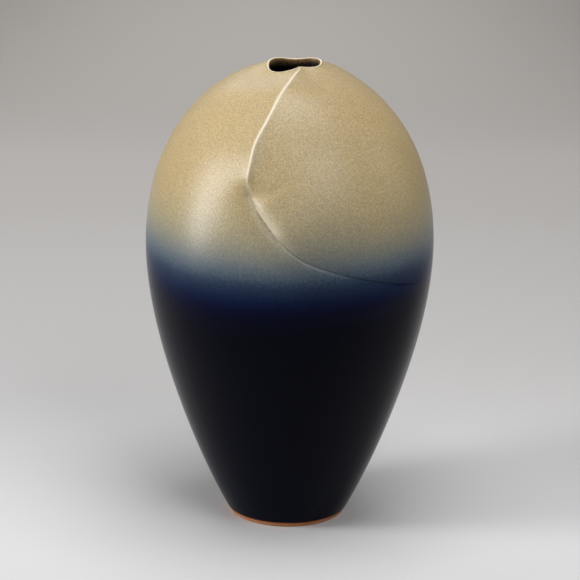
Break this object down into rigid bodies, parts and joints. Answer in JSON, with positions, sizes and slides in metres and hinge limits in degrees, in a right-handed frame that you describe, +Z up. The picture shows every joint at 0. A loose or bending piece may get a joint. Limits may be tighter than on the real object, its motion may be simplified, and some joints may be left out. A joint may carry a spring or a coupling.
{
  "type": "stoneware vase",
  "caption": "Closed-in egg-shaped stoneware vase with a small lobed mouth, a fold pressed into the shoulder and a sprayed blue to sand glaze.",
  "frame": {"origin": "centre of the foot's underside, on the surface that the vase stands on", "axes": "+Z up along the vase's axis, -Y towards the front, where the fold comes down from the mouth, +X to its right"},
  "size_m": [0.234, 0.2361, 0.3812],
  "materials": {
    "bare_clay": "matt fired clay, orange-brown",
    "stoneware_body": "fired stoneware under the glaze",
    "cobalt_glaze": "smooth satin-gloss dark blue glaze",
    "ash_glaze": "smooth satin sand-coloured glaze with a fine speckle",
    "liner_glaze": "satin brown glaze"
  },
  "bodies": {
    "root": {"foot_ring": "bare_clay", "base_floor": "stoneware_body", "lower_wall": "stoneware_body", "upper_wall": "stoneware_body", "cobalt_glaze_coat": "cobalt_glaze", "ash_glaze_coat": "ash_glaze", "liner_glaze_coat": "liner_glaze"}
  },
  "joints": []
}
